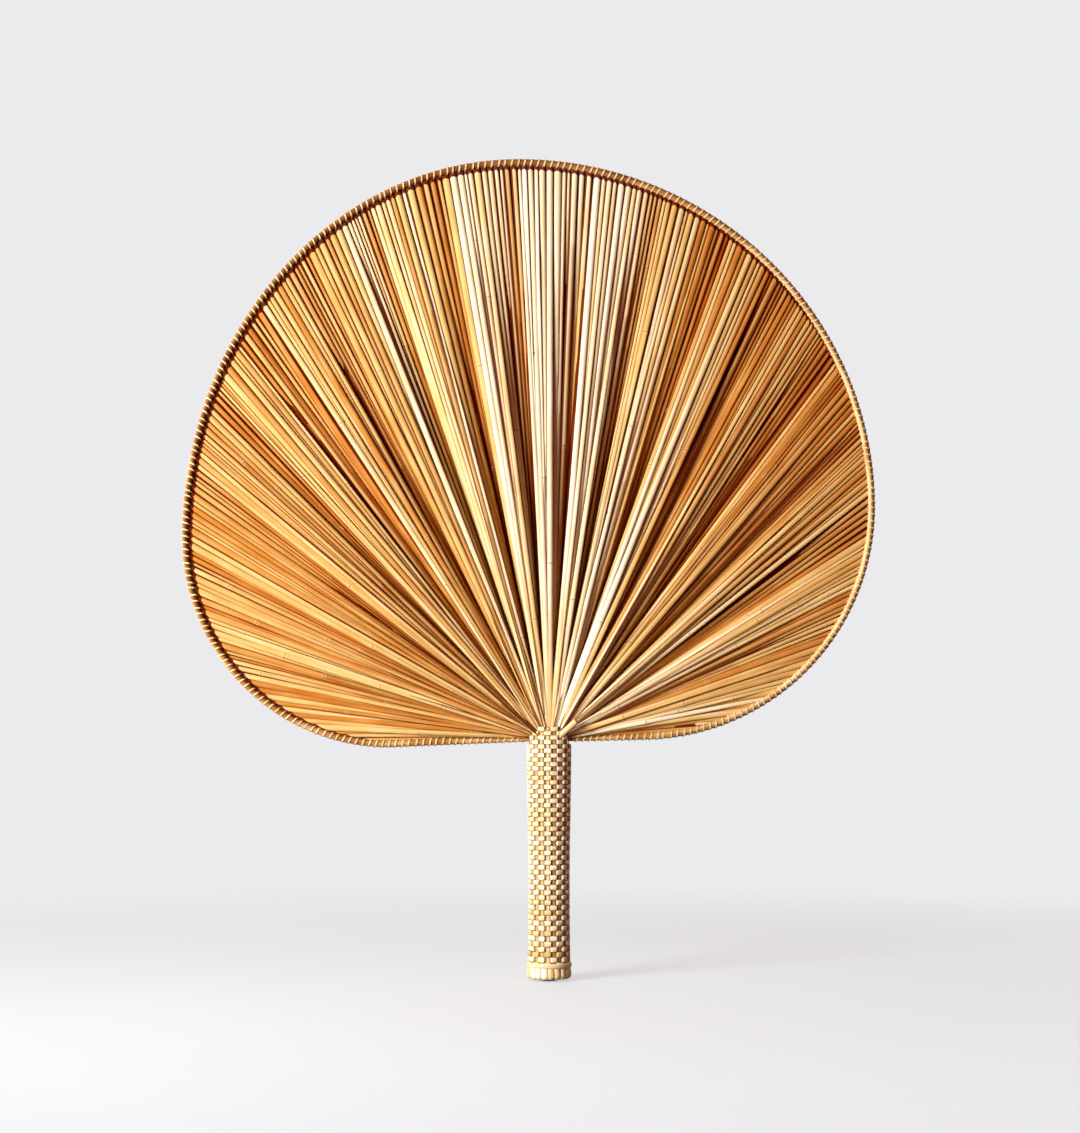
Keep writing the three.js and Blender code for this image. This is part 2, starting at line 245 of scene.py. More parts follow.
def ellipseArc(centreX, centreZ, radiusX, radiusZ, fromDegrees, toDegrees, steps=200):
    points = []
    for step in range(steps + 1):
        angle = math.radians(blend(fromDegrees, toDegrees, step / steps))
        x = centreX + radiusX * math.cos(angle)
        points.append(Vector((x, 0, centreZ + radiusZ * math.sin(angle))))
    return points


# Outer edge of the rim, from the left of the handle over the crown to the right of the handle
outline = {
    "gripLength": 117.6, "endX": 9.0, "crownOffset": -15.3, "crownRise": 293.4,
    "leftReach": 183.7, "leftReachRise": 102.8, "leftHeel": 79.6, "leftHeelRise": -3.0,
    "rightReach": 163.3, "rightReachRise": 118.1, "rightHeel": 45.9, "rightHeelRise": 0.8,
}


def outlineCourse(o):
    base = o["gripLength"]
    leftHigh = base + o["leftReachRise"]
    rightHigh = base + o["rightReachRise"]
    leftFoot = o["leftReachRise"] - o["leftHeelRise"]
    rightFoot = o["rightReachRise"] - o["rightHeelRise"]
    leftTop = o["crownRise"] - o["leftReachRise"]
    rightTop = o["crownRise"] - o["rightReachRise"]
    crown, leftHeel, rightHeel = o["crownOffset"], o["leftHeel"], o["rightHeel"]
    points = [Vector((-o["endX"], 0, base))]
    points += ellipseArc(-leftHeel, leftHigh, o["leftReach"] - leftHeel, leftFoot, -90, -180)
    points += ellipseArc(crown, leftHigh, o["leftReach"] + crown, leftTop, 180, 90)
    points += ellipseArc(crown, rightHigh, o["rightReach"] - crown, rightTop, 90, 0)
    points += ellipseArc(rightHeel, rightHigh, o["rightReach"] - rightHeel, rightFoot, 0, -90)
    points.append(Vector((o["endX"], 0, base)))
    return Course(points)


edgeCourse = outlineCourse(outline)


def rimPoint(along, inset, depth):  # so far along the edge, in from it and back
    point, run = edgeCourse.at(along)
    return Vector((point.x + run.z * inset, depth, point.z - run.x * inset))


# Rods and strips: every strand starts as a round rod with rings to bend it at

def rodCopies(bm, sides, rings, count):
    bmesh.ops.create_cone(bm, cap_ends=True, segments=sides, radius1=1, radius2=1, depth=1)
    lengthwise = [e for e in bm.edges if abs(e.verts[0].co.z - e.verts[1].co.z) > 0.5]
    bmesh.ops.subdivide_edges(bm, edges=lengthwise, cuts=rings - 2)
    whole = bm.verts[:] + bm.edges[:] + bm.faces[:]
    rods = [bm.verts[:]]
    for copy in range(1, count):
        made = bmesh.ops.duplicate(bm, geom=whole)["geom"]
        rods.append([item for item in made if isinstance(item, bmesh.types.BMVert)])
    return rods


def ringOf(vert, rings):
    return round((vert.co.z + 0.5) * (rings - 1))


def flatSection(vert, wide=0.3, thick=0.5):  # a rod's round section pressed towards a flat strip
    x, y = vert.co.x, vert.co.y
    return math.copysign(abs(x) ** wide, x), math.copysign(abs(y) ** thick, y)


def newStrands():
    bm = bmesh.new()
    grain = bm.verts.layers.float_vector.new("grain")
    tone = bm.verts.layers.float_vector.new("tone")
    return bm, grain, tone


def placePiece(bm, name, material, nodes, sharp=60):
    bmesh.ops.recalc_face_normals(bm, faces=bm.faces)
    bmesh.ops.scale(bm, verts=bm.verts, vec=(metre, metre, metre))
    mesh = bpy.data.meshes.new(name)
    bm.to_mesh(mesh)
    bm.free()
    mesh.shade_smooth()
    mesh.set_sharp_from_angle(angle=math.radians(sharp))
    mesh.materials.append(material)
    piece = bpy.data.objects.new(name, mesh)
    bpy.context.scene.collection.objects.link(piece)
    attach(piece, "root")
    if nodes:
        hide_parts(*nodes)


# Blade: round stalks in pleats over a thin lining, folded deep at the neck and flat at the rim
blade = {
    "counts": [15, 14, 14, 14, 14, 13, 13, 12, 12, 12, 12, 13, 14, 15, 15, 15, 15, 15],
    "sides": 8, "rings": 12, "seed": 41, "slim": 0.55, "stout": 1.5,
    "neckHalfWidth": 9.3, "neckHeight": 119.9, "neckRise": 4.5, "neckWidth": 1.2,
    "leftTipAngle": -1.4, "rightTipAngle": 2.2, "tipInset": 1.1, "rimWidth": 4.3, "tailLength": 4.0,
    "mostSkew": 5.0, "firstMouth": 0.86, "tipSamples": 800, "slopeStep": 0.02,
    "neckFold": 4.6, "foldDepth": 6.6, "ridgeShare": 0.32, "foldRound": 1.5,
    "edgeFold": 0.4, "foldOver": 0.22, "foldFade": 0.6, "flattenOver": 0.1,
    "layers": [-1.1, 0.5, -0.3, 0.4], "layerStray": 0.3, "rimLayer": 0.8,
    "layerFrom": -0.02, "layerTo": 0.12, "layerShade": 0.05, "frontWide": 0.98, "backWide": 1.06,
    "neckHalf": 0.9, "frontHalf": 1.5, "flat": 0.8, "mostRoll": 0.95, "rollStray": 0.18,
    "squareWide": 0.75, "squareThick": 0.85, "neckRing": 0.08, "strands": 400,
    "bow": 0.25, "jointSwell": 1.13, "jointReach": 1.3, "jointShare": 0.35, "jointRings": (4, 7),
    "firstJoint": (0.16, 0.5), "nextJoint": (0.22, 0.42), "lastJoint": 0.93,
    "shade": 1.8, "rimShadow": 1.6, "shadowLean": (15, 50),
    "paleAndLightByLean": [  # lean is a stalk's angle off upright, in degrees; paleness by lean paints a highlight on stalks near upright over their own tone
        (-95, 0.6), (-45, 0.52), (-14, 0.74), (5, 0.92), (16, 0.65), (35, 0.56), (70, 0.64), (95, 0.68),
    ],
    "paleStray": 0.11, "paleLow": -1.5, "paleHigh": 1.2, "neckPale": 0.74, "neckReach": 0.45,
    "leeShade": 0.1, "leeShadeSteep": 4, "tipFrom": 0.4,
    "valleyShadeByLean": [(-95, 0.6), (8, 0.75), (25, 0.35), (95, 0.25)],
    "tipPale": [(-95, 0.0), (5, 0.0), (18, -0.22), (40, -0.22), (70, -0.06), (95, 0.0)],
    "crestLightByLean": [(-95, 0.1), (-40, 0.15), (-10, 0.0), (8, 0.0), (20, 0.4), (60, 0.4), (95, 0.15)],
    "tipValley": [
        (-95, 0.0), (-50, 0.0), (-20, 0.1), (5, 0.1), (18, 0.3), (45, 0.3), (70, 0.1), (95, 0.0),
    ],
    "neckGapShade": 0.84, "valleyGapShade": 0.45, "gapStray": 0.18,
    "gapShadeByLean": [
        (-95, 0.72), (-60, 0.9), (-30, 1.14), (-8, 1.0), (10, 1.0), (30, 1.14), (70, 0.86), (95, 0.74),
    ],
    "fronts": [
        [0.3], [0.22, 0.52], [0.16, 0.44], [0.16, 0.38, 0.66],
        [0.22, 0.44], [0.3, 0.6], [0.36], [0.1, 0.3, 0.52],
    ],
    "backs": [[0.02, 0.95], [0.02, 0.88], [0.02, 0.8], [0.02, 0.74, 0.95]],
    "liningSides": 4, "liningRings": 7, "liningHalf": 0.8, "liningSpread": 0.75,
    "liningThick": 0.15, "liningLayer": 0.6, "liningFrontShade": 0.08, "liningBackPale": 0.6,
}


# Each pleat's stalks, edge to edge: tip along the rim, place across the pleat, width at the rim
def stalkTips(b):
    samples = b["tipSamples"]
    neck = Vector((0, 0, b["neckHeight"]))
    alongs, spread, total = [], [], 0
    for i in range(samples + 1):
        along = edgeCourse.length * i / samples
        run = rimPoint(along, b["tipInset"], 0) - neck
        angle = math.degrees(math.atan2(run.z, abs(run.x)))
        if angle < (b["leftTipAngle"] if run.x < 0 else b["rightTipAngle"]):
            continue
        onward = rimPoint(along + edgeCourse.length / samples, b["tipInset"], 0) - neck
        alongs.append(along)
        spread.append(total)
        total += run.angle(onward) * run.length
    chance = random.Random(b["seed"])
    width = spread[-1] / len(b["counts"])
    table = list(zip(spread, alongs))
    pleats = []
    for pleat, count in enumerate(b["counts"]):
        girths = [chance.uniform(b["slim"], b["stout"]) for stalk in range(count)]
        stalks, reached = [], 0
        for girth in girths:
            share = (reached + girth / 2) / sum(girths)
            reached += girth
            along = readTable(table, (pleat + share) * width)
            stalks.append((along, share, girth / sum(girths) * width))
        pleats.append(stalks)
    return pleats, width


# How a pleat bulges across its width: -1 along the crest in front, 1 in the valleys on both sides
def foldAt(share, b):
    ridge = b["ridgeShare"]
    reach = ridge if share < ridge else 1 - ridge
    return 2 * (abs(share - ridge) / reach) ** b["foldRound"] - 1


neckArc = ellipseArc(0, blade["neckHeight"], blade["neckHalfWidth"], blade["neckRise"], 180, 0)
neckCourse = Course(neckArc)
pleatStalks, pleatWidth = stalkTips(blade)


# The line of one stalk from the neck into the rim
class StalkLine:
    def __init__(self, pleat, share, along, b):
        self.root = neckCourse.at(neckCourse.length * (pleat + share) / len(b["counts"]))[0]
        self.tip = rimPoint(along, b["tipInset"], 0)
        self.length = (self.tip - self.root).length
        run = (self.tip - self.root).normalized()
        self.across = Vector((run.z, 0, -run.x))
        rimRun = edgeCourse.at(along)[1]
        self.skew = clamp(rimRun.dot(run) / rimRun.dot(self.across), -b["mostSkew"], b["mostSkew"])
        self.lean = math.degrees(math.atan2(run.x, run.z))
        intoRim = rimPoint(along, b["rimWidth"], 0) - self.tip
        self.outward = -intoRim.normalized()
        covered = intoRim.length_squared / -run.dot(intoRim)
        self.mouth = max(1 - covered / self.length, b["firstMouth"])
        self.roundness = math.sqrt(max(0, 1 - (self.root.x / b["neckHalfWidth"]) ** 2))
        self.fold = foldAt(share, b)
        step = b["slopeStep"]
        self.steep = (foldAt(share + step, b) - foldAt(share - step, b)) / (2 * step)

    # Its middle at a share of the way, and the directions along its width and its thickness
    def at(self, way, layer, stray, b):
        spare = max(1 - way, 0)
        free = 1 - ease(self.mouth - b["flattenOver"], self.mouth, way)
        full = blend(b["edgeFold"], 1, self.roundness)
        atNeck, above = b["neckFold"] * self.roundness, b["foldDepth"] * full
        swing = blend(atNeck, above, ease(0, b["foldOver"], way)) * spare ** b["foldFade"]
        layered = ease(b["layerFrom"], b["layerTo"], way)
        depth = self.fold * swing + layer * (b["rimLayer"] + full * spare) * layered
        slope = math.atan(self.steep * swing / blend(b["neckWidth"], pleatWidth, clamp(way)))
        roll = (clamp(slope, -b["mostRoll"], b["mostRoll"]) + stray) * free
        edgewise = self.across + Vector((0, math.tan(roll), 0))  # wide enough to close up on a slope
        facing = Vector((0, math.cos(roll), 0)) - self.across * math.sin(roll)
        middle = self.root + (self.tip - self.root) * way + Vector((0, depth * free, 0))
        return middle, edgewise, facing

    # How much further along a tip cut along the rim reaches, this far aside of its middle
    def cut(self, aside):
        return self.skew * aside / self.length

    # A point of the stalk, brought back where it would poke out past the rim
    def within(self, point):
        return point - self.outward * max((point - self.tip).dot(self.outward), 0)


# A stalk in a pleat, with what chance and its lean make of it
class Stalk(StalkLine):
    def settle(self, girth, layer, isFront, isBack, chance, b):
        self.girth = girth
        self.half = b["neckHalf"]
        self.layer = layer + chance.uniform(-1, 1) * b["layerStray"]
        if isFront or isBack:
            self.fold = -1 if isFront else 1
            self.steep = 0
            self.half = b["frontHalf"]
            self.layer = 0
        self.setTones(chance, b)
        self.bow = chance.gauss(0, 1) * b["bow"]
        self.stray = chance.gauss(0, 1) * b["rollStray"]
        self.setRings(chance, b)
        self.strand = chance.uniform(0, b["strands"])

    def setTones(self, chance, b):
        spot = clamp(chance.gauss(0, 1), b["paleLow"], b["paleHigh"])
        # paleness by lean: the stalk's own tone with a painted highlight near upright
        self.pale = readTable(b["paleAndLightByLean"], self.lean)
        # stalks set further back are painted darker, as shade
        self.pale += spot * b["paleStray"] - b["layerShade"] * self.layer
        # painted light and shade of the folds: crest stalks paler, stalks in the valleys and on the lee
        # side darker
        crest = readTable(b["crestLightByLean"], self.lean) * max(-self.fold, 0)
        valley = readTable(b["valleyShadeByLean"], self.lean) * max(self.fold, 0)
        self.foldShade = valley + b["leeShade"] * ease(0, b["leeShadeSteep"], self.steep) - crest
        self.tipValley = readTable(b["tipValley"], self.lean)
        self.tipPale = readTable(b["tipPale"], self.lean)
        self.inShadow = b["rimShadow"] * (1 - ease(*b["shadowLean"], self.lean))
        # how strong the painted shade between stalks is: by lean, at random, and more in the valleys
        self.gapShade = readTable(b["gapShadeByLean"], self.lean)
        self.gapShade *= chance.uniform(1 - b["gapStray"], 1 + b["gapStray"])
        self.gapShade *= 1 + b["valleyGapShade"] * max(self.fold, 0)

    # The ways of its rings: the neck, two joints, and the tip from where the rim's painted shadow
    # starts
    def setRings(self, chance, b):
        near = b["jointReach"] / self.length
        self.under = self.mouth - b["shade"] / self.length
        first = chance.uniform(*b["firstJoint"])
        second = first + chance.uniform(*b["nextJoint"])
        second = min(second, b["lastJoint"], self.under - near - abs(self.cut(self.girth / 2)))
        self.ways = [-b["tailLength"] / self.length, 0.0, b["neckRing"]]
        self.ways += [first - near, first, first + near]
        self.ways += [second - near, second, second + near]
        self.ways += [self.under, self.mouth, 1.0]
        self.marked = [ring for ring in b["jointRings"] if chance.random() < b["jointShare"]]

    def toneAt(self, way, b):
        most = blend(b["neckPale"], 1, ease(0, b["neckReach"], way))
        # paleness: own tone with the painted highlight by lean, painted shade towards the tips on the
        # right, held down near the neck
        paleness = min(self.pale + self.tipPale * (way - b["tipFrom"]), most)
        # the painted fold shade, eased towards the tip
        return paleness * (1 - self.foldShade * blend(1, self.tipValley, clamp(way)))

    def shape(self, vert, grain, tone, b):
        ring = ringOf(vert, b["rings"])
        way = self.ways[ring]
        side, face = flatSection(vert, b["squareWide"], b["squareThick"])
        # painted shadow of the rim over the tip, and painted shade at the stalk's edges
        shadow = self.inShadow * ease(self.under, self.mouth, way)
        flank = max(abs(vert.co.x) * blend(b["neckGapShade"], self.gapShade, clamp(way)), shadow)
        joint = float(ring in self.marked)
        wide = blend(self.half, self.girth / 2, clamp(way)) * blend(1.0, b["jointSwell"], joint)
        wide *= b["backWide"] if self.layer > 0 else b["frontWide"]
        if way >= self.under:  # the tip is cut along the rim
            way += self.cut(side * wide)
        middle, edgewise, facing = self.at(way, self.layer, self.stray, b)
        middle += self.across * self.bow * math.sin(math.pi * clamp(way))
        middle += edgewise * side * wide + facing * face * wide * b["flat"]
        vert.co = self.within(middle)
        vert[grain] = Vector((side * wide, way * self.length, self.strand))
        vert[tone] = Vector((self.toneAt(way, b), joint, flank))


def makePleat(pleat, b):
    chance = random.Random(b["seed"] + pleat)
    bm, grain, tone = newStrands()
    count = b["counts"][pleat]
    fronts = [int(share * count) for share in chance.choice(b["fronts"])]
    backs = [int(share * count) for share in chance.choice(b["backs"])]
    start = chance.randrange(len(b["layers"]))
    for index, verts in enumerate(rodCopies(bm, b["sides"], b["rings"], count)):
        along, share, girth = pleatStalks[pleat][index]
        layer = b["layers"][(index + start) % len(b["layers"])]
        stalk = Stalk(pleat, share, along, b)
        stalk.settle(girth, layer, index in fronts, index in backs, chance, b)
        for vert in verts:
            stalk.shape(vert, grain, tone, b)
    name = f"straw_pleat_{pleat + 1:02d}"
    placePiece(bm, name + "_stalks", strawPaint, [name])


# Flat strands that lie between the stalks and close the gaps, painted dark in front as shade between
# the stalks and paler behind
def makeLining(b):
    bm, grain, tone = newStrands()
    rings = b["liningRings"]
    rods = rodCopies(bm, b["liningSides"], rings, sum(b["counts"]))
    for pleat, stalks in enumerate(pleatStalks):
        neighbours = stalks[1:] + stalks[-1:]
        for (along, share, girth), (nextAlong, nextShare, nextGirth) in zip(stalks, neighbours):
            line = StalkLine(pleat, (share + nextShare) / 2, (along + nextAlong) / 2, b)
            spread = b["liningSpread"] * (girth + nextGirth) / 2
            for vert in rods.pop():
                side, face = vert.co.x + vert.co.y, vert.co.y - vert.co.x
                way = ringOf(vert, rings) / (rings - 1)
                wide = blend(b["liningHalf"], spread, way)
                if way == 1:
                    way += line.cut(side * wide)
                middle, edgewise, facing = line.at(way, b["liningLayer"], 0, b)
                # the front face is painted dark as shade, the back face keeps the straw's tone
                pale = b["liningBackPale"] if face > 0 else b["liningFrontShade"]
                middle += edgewise * side * wide + facing * face * b["liningThick"]
                vert.co = line.within(middle)
                vert[grain] = Vector((side * wide, way * line.length, along))
                vert[tone] = Vector((pale, 0, 0))
    nodes = [f"straw_pleat_{pleat + 1:02d}" for pleat in range(len(b["counts"]))]
    placePiece(bm, "straw_pleats_lining", strawPaint, nodes)


# A stub of straw, cut off blunt, that stands out of the neck on the right
stub = {
    "root": (4.0, -6.2, 119.4), "tip": (13.4, -9.2, 128.1), "half": 1.6, "sides": 10, "rings": 5,
    "pale": 0.8, "flank": 0.7, "strand": 60,
}


def makeStub(s):
    bm, grain, tone = newStrands()
    root, tip = Vector(s["root"]), Vector(s["tip"])
    run = (tip - root).normalized()
    across = run.cross(Vector((0, 1, 0))).normalized()
    facing = run.cross(across)
    for vert in rodCopies(bm, s["sides"], s["rings"], 1)[0]:
        way = ringOf(vert, s["rings"]) / (s["rings"] - 1)
        side, face = vert.co.x * s["half"], vert.co.y * s["half"]
        vert[grain] = Vector((side, way * (tip - root).length, s["strand"]))
        # the stub's edges are painted darker, as shade
        vert[tone] = Vector((s["pale"], 0, abs(vert.co.x) * s["flank"]))
        vert.co = root.lerp(tip, way) + across * side + facing * face
    placePiece(bm, "neck_stub", strawPaint, [])


for pleat in range(len(blade["counts"])):
    makePleat(pleat, blade)
makeLining(blade)
makeStub(stub)
print("blade laid,", sum(blade["counts"]), "stalks")


# Rim: a half-round cane each side of the stalk tips, lashed round with a narrow strip
rim = {
    "width": 4.0, "endWidth": 2.0, "taper": 45.0, "bare": 4.0, "slimPower": 0.5,
    "caneSides": 10, "caneRings": 320, "caneBase": 1.12, "caneRise": 1.75, "caneInset": 0.35,
    "canePale": 0.34, "caneSideLight": 0.5, "caneLeftLight": 0.14, "caneFootLight": 0.25, "caneRightLight": 0.16,
    "wear": 0.24, "wearScale": 0.05, "wearStep": 7, "caneStrand": 90,
    "turns": 300, "stepsPerTurn": 12, "stripWidth": 0.75, "stripThickness": 0.38, "stripSharp": 30,
    "spinRadius": 2.0, "halfDepth": 2.92, "square": 0.8,
    "wander": 0.9, "wanderScale": 0.73, "wanderRow": 3.1,
    "stripPale": 0.66, "stripStray": 0.2, "strayScale": 0.41, "strayRow": 8,
    "turnLength": 14, "angleLength": 2, "stripStrand": 5,
}


def rimWidthAt(along, r):
    fromEnd = min(along, edgeCourse.length - along)
    return blend(r["endWidth"], r["width"], clamp(fromEnd / r["taper"]))


def makeCane(side, name, r):
    bm, grain, tone = newStrands()
    rings = r["caneRings"]
    for vert in rodCopies(bm, r["caneSides"], rings, 1)[0]:
        along = edgeCourse.length * ringOf(vert, rings) / (rings - 1)
        half = rimWidthAt(along, r) / 2 - r["caneInset"]
        slim = half / (r["width"] / 2 - r["caneInset"])
        inset = rimWidthAt(along, r) / 2 + vert.co.x * half
        depth = r["caneBase"] + r["caneRise"] * max(vert.co.y, 0) * slim ** r["slimPower"]
        run = edgeCourse.at(along)[1]  # it climbs on the left and falls on the right; the paleness below paints light and shade on the cane's sides by which way they face, over its own tone and wear
        worn = r["wear"] * noise.noise(Vector((along * r["wearScale"], side * r["wearStep"], 0)))
        pale = r["canePale"] - (r["caneSideLight"] * vert.co.x + r["caneLeftLight"]) * run.z + worn
        pale += r["caneFootLight"] * max(-run.x, 0) + r["caneRightLight"] * max(-run.z, 0)
        vert[grain] = Vector((vert.co.x * half + vert.co.y, along, side * r["caneStrand"]))
        vert[tone] = Vector((pale, 0, 0))
        vert.co = rimPoint(along, inset, side * depth)
    placePiece(bm, name + "_half_round", canePaint, [name])


# A square of side 1 spun into a long coil
def makeCoil(bm, pitch, r):
    made = bmesh.ops.create_circle(bm, segments=4, radius=math.sqrt(0.5))
    upright = Matrix.Rotation(math.pi / 4, 3, "Z")
    bmesh.ops.rotate(bm, verts=made["verts"], cent=(0, 0, 0), matrix=upright)
    bmesh.ops.translate(bm, verts=made["verts"], vec=(0, r["spinRadius"], 0))
    bmesh.ops.spin(
        bm, geom=made["verts"][:] + bm.edges[:], cent=(0, 0, 0), axis=(1, 0, 0),
        dvec=(pitch / r["stepsPerTurn"], 0, 0), angle=-2 * math.pi * r["turns"],
        steps=r["turns"] * r["stepsPerTurn"],
    )
    bmesh.ops.holes_fill(bm, edges=[e for e in bm.edges if e.is_boundary], sides=4)


# The strip: each turn of the coil is laid round the rim
def makeLashing(r):
    bm, grain, tone = newStrands()
    pitch = (edgeCourse.length - 2 * r["bare"]) / r["turns"]
    makeCoil(bm, pitch, r)
    for vert in bm.verts:
        radius = math.hypot(vert.co.y, vert.co.z)
        angle = math.atan2(vert.co.z, vert.co.y)
        turn = round(vert.co.x / pitch + angle / (2 * math.pi))
        outward = (radius - r["spinRadius"] + 0.5) * r["stripThickness"]
        middle = turn * pitch - pitch * angle / (2 * math.pi)
        across = clamp(vert.co.x - middle, -0.5, 0.5)
        stray = r["wander"] * noise.noise(Vector((turn * r["wanderScale"], r["wanderRow"], 0)))
        along = r["bare"] + middle + stray + across * r["stripWidth"]
        half = rimWidthAt(along, r) / 2
        slim = half / (r["width"] / 2)
        cosine, sine = math.cos(angle), math.sin(angle)
        outer = math.copysign(abs(cosine) ** r["square"], cosine)
        front = math.copysign(abs(sine) ** r["square"], sine)
        inset = half - outer * (half - r["stripThickness"] + outward)
        depth = -front * (r["halfDepth"] * slim ** r["slimPower"] + outward)
        unrolled = turn * r["turnLength"] + angle * r["angleLength"]
        paleness = r["stripStray"] * noise.noise(Vector((turn * r["strayScale"], 0, r["strayRow"])))
        vert[grain] = Vector((across * r["stripWidth"], unrolled, r["stripStrand"]))
        vert[tone] = Vector((r["stripPale"] + paleness, 0, 0))
        vert.co = rimPoint(along, inset, depth)
    placePiece(bm, "rim_binding_lashing", stripPaint, ["rim_binding"], r["stripSharp"])


makeCane(-1, "rim_cane_front", rim)
makeCane(1, "rim_cane_back", rim)
makeLashing(rim)
print("rim bent and lashed,", rim["turns"], "turns")


# Handle: straight stakes with strips woven round them, domed at the neck in front and behind
sleeve = {
    "foot": 6.7, "top": 125.5, "radius": 10.1, "sides": 8, "seed": 23,
    "neckFlare": 0.9, "neckFrom": 0.35, "neckTo": 0.95, "footFlare": 0.25, "footTo": 0.25,
    "stakes": 20, "firstStake": -4.0, "stakeHalf": 1.4, "stakeThick": 0.25, "stakeSink": 1.05,
    "stakeRings": 30, "stakePale": 0.4, "stakeStray": 0.12, "stakeEdgeShade": 0.7, "stakeStrand": 17,
    "stakeUnder": 0.6, "slotUnder": 0.4, "slotBeside": 0.8, "footOver": 0.4,
    "stakeTuck": 0.7, "tuckFrom": 0.965,
    "footPitch": 2.62, "topPitch": 2.12, "firstRow": 0.2, "lastRow": 1.2,
    "startSpread": 60, "overlap": 0.3,
    "weave": 1.0, "steep": 4, "proud": 0.9, "stripThick": 0.25, "stripRings": 161,
    "stripHalf": (0.46, 0.5), "stripPale": 0.84, "stripStray": 0.1, "strands": 300, "stripBeside": 0.3,
    "wave": 0.22, "waveScale": 3, "waveRow": 1.7, "endShare": 0.015, "dipShade": 0.9, "liftShade": 0.5,
    "slotFloor": 117.3, "slotHalf": 4.0,  # the blade passes out through a slot on each side
    "domeHalf": 11.22, "domeSpring": 112.0, "domeRise": 13.5, "domeBlunt": 2.5,
    "curlFrom": 113.0, "curl": 0.2,
}


def sleeveRadius(height, s):
    share = (height - s["foot"]) / (s["top"] - s["foot"])
    neck = s["neckFlare"] * ease(s["neckFrom"], s["neckTo"], share)
    return s["radius"] + neck + s["footFlare"] * (1 - ease(0, s["footTo"], share))


def domeWidth(height, s):
    lift = clamp((height - s["domeSpring"]) / s["domeRise"])
    return s["domeHalf"] * (1 - lift ** s["domeBlunt"]) ** (1 / s["domeBlunt"])


def domeHeight(x, s):
    out = min(abs(x) / s["domeHalf"], 1)
    return s["domeSpring"] + s["domeRise"] * (1 - out ** s["domeBlunt"]) ** (1 / s["domeBlunt"])


# A point on the sleeve: angle 0 is the front and grows to the right, proud is off the sleeve's skin
def sleevePoint(angle, height, proud, s):
    radius = sleeveRadius(height, s) + proud
    squeeze = min(1, domeWidth(min(height, s["slotFloor"]), s) / radius)
    closing = 1 - s["curl"] * ease(s["curlFrom"], s["top"], height)
    return Vector((radius * math.sin(angle) * squeeze, -radius * math.cos(angle) * closing, height))


def makeStakes(s):
    chance = random.Random(s["seed"])
    bm, grain, tone = newStrands()
    rings = s["stakeRings"]
    for index, verts in enumerate(rodCopies(bm, s["sides"], rings, s["stakes"])):
        angle = math.radians(s["firstStake"] + 360 * index / s["stakes"])
        radius = sleeveRadius(s["top"], s)
        top = domeHeight(radius * math.sin(angle), s) - s["stakeUnder"]
        if radius * abs(math.cos(angle)) < s["slotHalf"] + s["slotBeside"]:
            top = s["slotFloor"] - s["slotUnder"]
        # stakes are painted darker than the strips, and darker still at their edges, as shade in the
        # weave's windows
        pale = chance.gauss(s["stakePale"], s["stakeStray"])
        for vert in verts:
            share = ringOf(vert, rings) / (rings - 1)
            x, y = flatSection(vert)
            height = blend(s["foot"] - s["footOver"], top, share)
            turn = angle + x * s["stakeHalf"] / sleeveRadius(height, s)
            tuck = s["stakeTuck"] * ease(s["tuckFrom"], 1, share)
            vert[grain] = Vector((x * s["stakeHalf"], height, index * s["stakeStrand"]))
            vert[tone] = Vector((pale, 0, blend(s["stakeEdgeShade"], 1, abs(x))))
            vert.co = sleevePoint(turn, height, y * s["stakeThick"] - s["stakeSink"] - tuck, s)
    placePiece(bm, "woven_sleeve_stakes", stripPaint, ["woven_sleeve"])


# Each row of the weave: its number, height, pitch and the angles that it runs between
def weaveRows(s, chance):
    spans, row, height = [], 0, s["foot"] + s["firstRow"]
    while height < s["top"] - s["lastRow"]:
        pitch = blend(s["footPitch"], s["topPitch"], (height - s["foot"]) / (s["top"] - s["foot"]))
        middle = height + pitch / 2
        if middle + pitch / 2 < s["slotFloor"]:
            start = math.radians(180 + chance.uniform(-s["startSpread"], s["startSpread"]))
            spans.append((row, middle, pitch, start, start + 2 * math.pi + s["overlap"]))
        else:
            radius = sleeveRadius(middle, s)
            widest = math.acos(min(1, (s["slotHalf"] + s["stripBeside"]) / radius))
            reach = min(widest, math.asin(min(1, domeWidth(middle, s) / radius)))
            spans.append((row, middle, pitch, -reach, reach))
            spans.append((row, middle, pitch, math.pi - reach, math.pi + reach))
        row += 1
        height += pitch
    return spans


